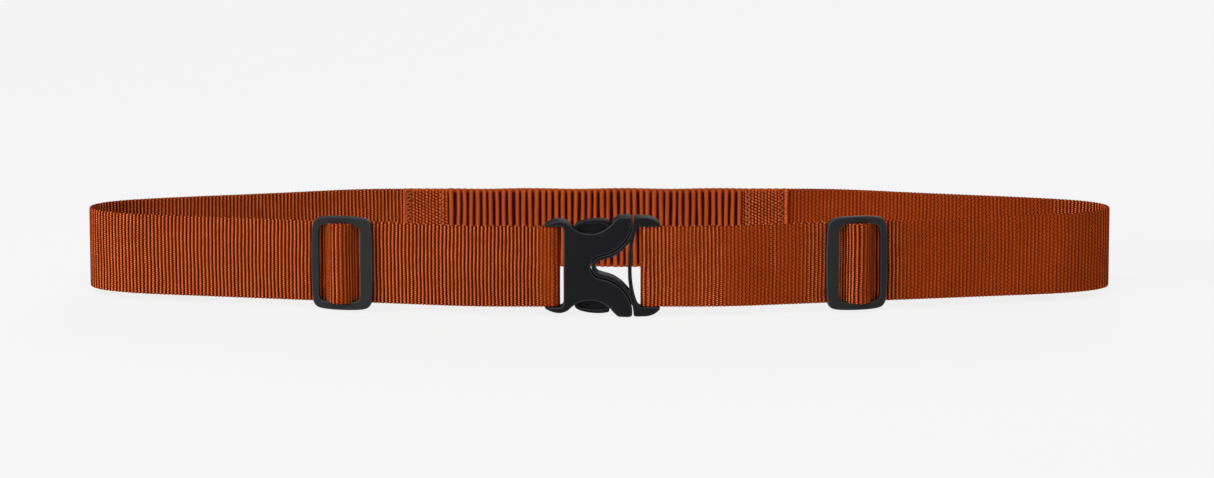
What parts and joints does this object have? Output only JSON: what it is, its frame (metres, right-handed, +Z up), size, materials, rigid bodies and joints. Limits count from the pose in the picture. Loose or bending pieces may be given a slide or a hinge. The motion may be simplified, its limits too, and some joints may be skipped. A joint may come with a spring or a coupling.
{
  "type": "luggage strap",
  "caption": "Ribbed webbing luggage strap, a closed loop with side-release buckle, sliding adjusters and a gathered stretch panel.",
  "frame": {"origin": "middle of the loop at floor level, half way between the buckle's front and the back panel's outside", "axes": "+X along the loop's length, from the socket half towards the plug half; -Y is the buckle side; +Z up, across the webbing"},
  "size_m": [0.488, 0.1036, 0.0484],
  "materials": {
    "webbing": "ribbed weave",
    "thread": "sewing thread",
    "elastic": "woven elastic",
    "buckle_plastic": "fine matte texture"
  },
  "bodies": {
    "left_half": {"socket_buckle_half": "buckle_plastic", "left_end_turn": "webbing", "left_front_bend": "webbing", "left_back_bend": "webbing", "left_front_run": "webbing", "left_back_run": "webbing", "left_front_ply": "webbing", "left_buckle_wrap": "webbing", "left_inner_ply": "webbing", "sleeve_left_end": "webbing", "sleeve_gathers": "webbing", "elastic_core": "elastic", "outer_left_seam": "thread", "inner_left_seam": "thread"},
    "right_half": {"plug_buckle_half": "buckle_plastic", "right_end_turn": "webbing", "right_front_bend": "webbing", "right_back_bend": "webbing", "right_front_run": "webbing", "right_back_run": "webbing", "right_front_ply": "webbing", "right_buckle_wrap": "webbing", "right_inner_ply": "webbing", "sleeve_right_end": "webbing", "inner_right_seam": "thread", "outer_right_seam": "thread"},
    "upper_prong": {"upper_prong": "buckle_plastic"},
    "lower_prong": {"lower_prong": "buckle_plastic"},
    "left_adjuster": {"left_slider": "buckle_plastic", "left_weave": "webbing", "left_sewn_loop": "webbing", "left_loop_stitches": "thread"},
    "right_adjuster": {"right_slider": "buckle_plastic", "right_weave": "webbing", "right_sewn_loop": "webbing", "right_loop_stitches": "thread"}
  },
  "joints": [
    {"name": "buckle_release", "type": "slide", "parent": "left_half", "child": "right_half", "axis": [1, 0, 0], "range_m": [0, 0.034], "stiffness_N_per_m": 60, "deforming": ["sleeve_gathers", "elastic_core", "upper_prong", "lower_prong"]},
    {"name": "upper_prong_press", "type": "hinge", "parent": "right_half", "child": "upper_prong", "pos_m": [0.0165, -0.04542, 0.04136], "axis": [0, -0.999, 0.0453], "range_deg": [0, 8], "stiffness_Nm_per_rad": 1.4},
    {"name": "lower_prong_press", "type": "hinge", "parent": "right_half", "child": "lower_prong", "pos_m": [0.0165, -0.04698, 0.007], "axis": [0, 0.999, -0.0453], "range_deg": [0, 8], "stiffness_Nm_per_rad": 1.4},
    {"name": "left_slider_travel", "type": "slide", "parent": "left_half", "child": "left_adjuster", "axis": [0.9816, -0.1906, 0.0086], "range_m": [-0.045, 0.024], "deforming": ["left_front_run", "left_front_ply", "left_inner_ply"]},
    {"name": "right_slider_travel", "type": "slide", "parent": "right_half", "child": "right_adjuster", "axis": [-0.9816, -0.1906, 0.0086], "range_m": [-0.045, 0.024], "deforming": ["right_front_run", "right_front_ply", "right_inner_ply"]}
  ]
}
